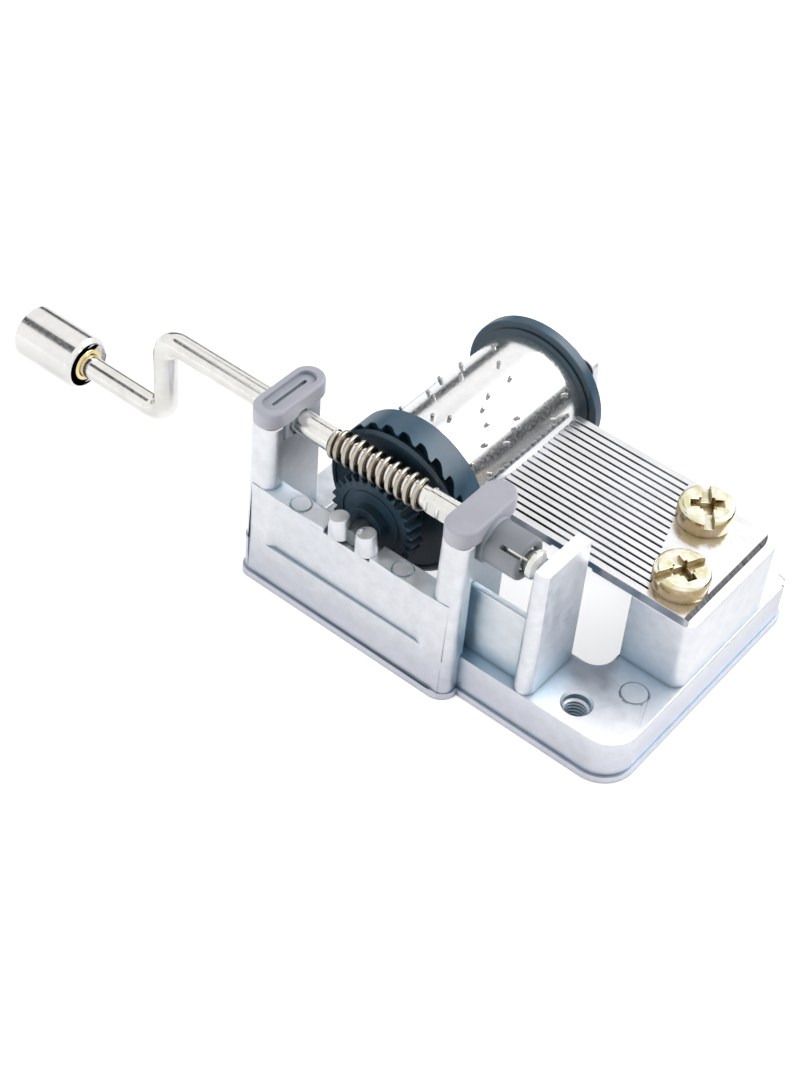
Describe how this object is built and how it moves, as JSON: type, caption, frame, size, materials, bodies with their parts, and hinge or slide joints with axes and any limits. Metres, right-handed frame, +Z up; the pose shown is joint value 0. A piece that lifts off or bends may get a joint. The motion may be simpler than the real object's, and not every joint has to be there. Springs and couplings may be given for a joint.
{
  "type": "hand-cranked music box movement",
  "caption": "Hand-cranked music box movement: a crank shaft with a wound worm turns a pinned cylinder past a tuned steel comb on a cast bedplate.",
  "frame": {"origin": "centre of the underside of the bedplate", "axes": "+X along the crank shaft from the knob towards the comb's fixed end, +Y along the cylinder from the crank side to the far side, +Z up"},
  "size_m": [0.0856, 0.0356, 0.0236],
  "materials": {
    "cast_zinc": "die-cast zinc, bright satin plating",
    "arbor_steel": "drawn steel",
    "nylon": "grey nylon",
    "comb_steel": "ground spring steel",
    "damper_film": "thin plastic film",
    "yellow_zinc": "yellow zinc plated steel",
    "nickel_wire": "nickel plated, polished",
    "worm_steel": "nickel plated wire",
    "knob_nickel": "nickel plated, polished",
    "bush_brass": "turned brass",
    "black_plastic": "moulded black plastic",
    "flange_plastic": "moulded dark blue-green plastic",
    "barrel_chrome": "bright chrome",
    "pin_steel": "hard steel wire"
  },
  "bodies": {
    "frame": {"bedplate": "cast_zinc", "cylinder_arbor": "arbor_steel", "left_bearing_cap": "nylon", "right_bearing_cap": "nylon", "comb": "comb_steel", "comb_weights": "comb_steel", "comb_dampers": "damper_film", "comb_screws": "yellow_zinc"},
    "crank": {"crank_shaft": "nickel_wire", "crank_worm": "worm_steel"},
    "knob": {"crank_knob": "knob_nickel", "knob_bush": "bush_brass"},
    "cylinder": {"drive_wheel": "black_plastic", "gear_ring": "black_plastic", "near_flange": "flange_plastic", "cylinder_barrel": "barrel_chrome", "tune_pins": "pin_steel", "far_flange": "flange_plastic"}
  },
  "joints": [
    {"name": "crank_turn", "type": "hinge", "parent": "frame", "child": "crank", "pos_m": [0.006, -0.012, 0.02062], "axis": [1, 0, 0], "continuous": true},
    {"name": "knob_spin", "type": "hinge", "parent": "crank", "child": "knob", "pos_m": [-0.057, -0.012, 0.00917], "axis": [1, 0, 0], "continuous": true},
    {"name": "cylinder_turn", "type": "hinge", "parent": "frame", "child": "cylinder", "pos_m": [-0.01008, 0, 0.014], "axis": [0, 1, 0], "continuous": true}
  ],
  "couplings": [
    {"joint": "cylinder_turn", "follows": "crank_turn", "ratio": -0.035714}
  ]
}
